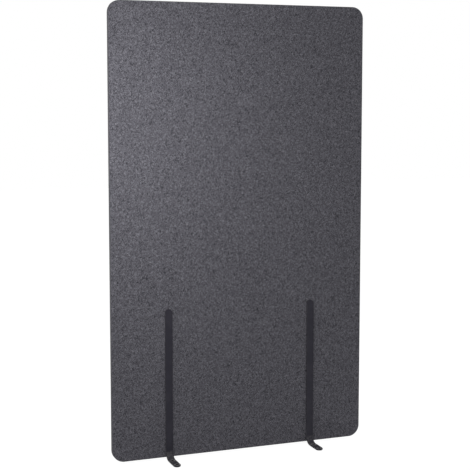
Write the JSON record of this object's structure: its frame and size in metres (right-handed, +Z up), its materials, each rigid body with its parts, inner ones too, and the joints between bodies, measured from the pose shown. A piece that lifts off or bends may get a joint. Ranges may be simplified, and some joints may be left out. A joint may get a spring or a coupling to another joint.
{
  "type": "acoustic divider screen",
  "caption": "Free-standing acoustic divider: an upright felt panel with rounded corners, clamped between slim bent flat-bar legs with short toes.",
  "frame": {"origin": "on the floor, under the middle of the panel", "axes": "+Z up, +X to the right seen from the front, +Y towards the rear; the panel stands in the XZ plane"},
  "size_m": [0.914, 0.214, 1.532],
  "materials": {
    "felt": "needled polyester felt board, dark grey heather",
    "core_sheet": "plain rigid polyester sheet",
    "black_steel": "fine black powder coat",
    "boss_steel": "drawn hexagon bar, zinc plated",
    "black_screw_steel": "black oxide",
    "bush_nylon": "moulded black nylon",
    "liner_rubber": "thin cellular rubber strip",
    "sole_rubber": "solid rubber, fine texture"
  },
  "bodies": {
    "root": {"front_felt_board": "felt", "rear_felt_board": "felt", "stiffening_core": "core_sheet", "left_front_leg": "black_steel", "left_rear_leg": "black_steel", "left_leg_bosses": "boss_steel", "left_panel_bushes": "bush_nylon", "left_clamp_screws": "black_screw_steel", "left_front_liner": "liner_rubber", "left_rear_liner": "liner_rubber", "left_front_toe_sole": "sole_rubber", "left_rear_toe_sole": "sole_rubber", "right_front_leg": "black_steel", "right_rear_leg": "black_steel", "right_leg_bosses": "boss_steel", "right_panel_bushes": "bush_nylon", "right_clamp_screws": "black_screw_steel", "right_front_liner": "liner_rubber", "right_rear_liner": "liner_rubber", "right_front_toe_sole": "sole_rubber", "right_rear_toe_sole": "sole_rubber"}
  },
  "joints": []
}
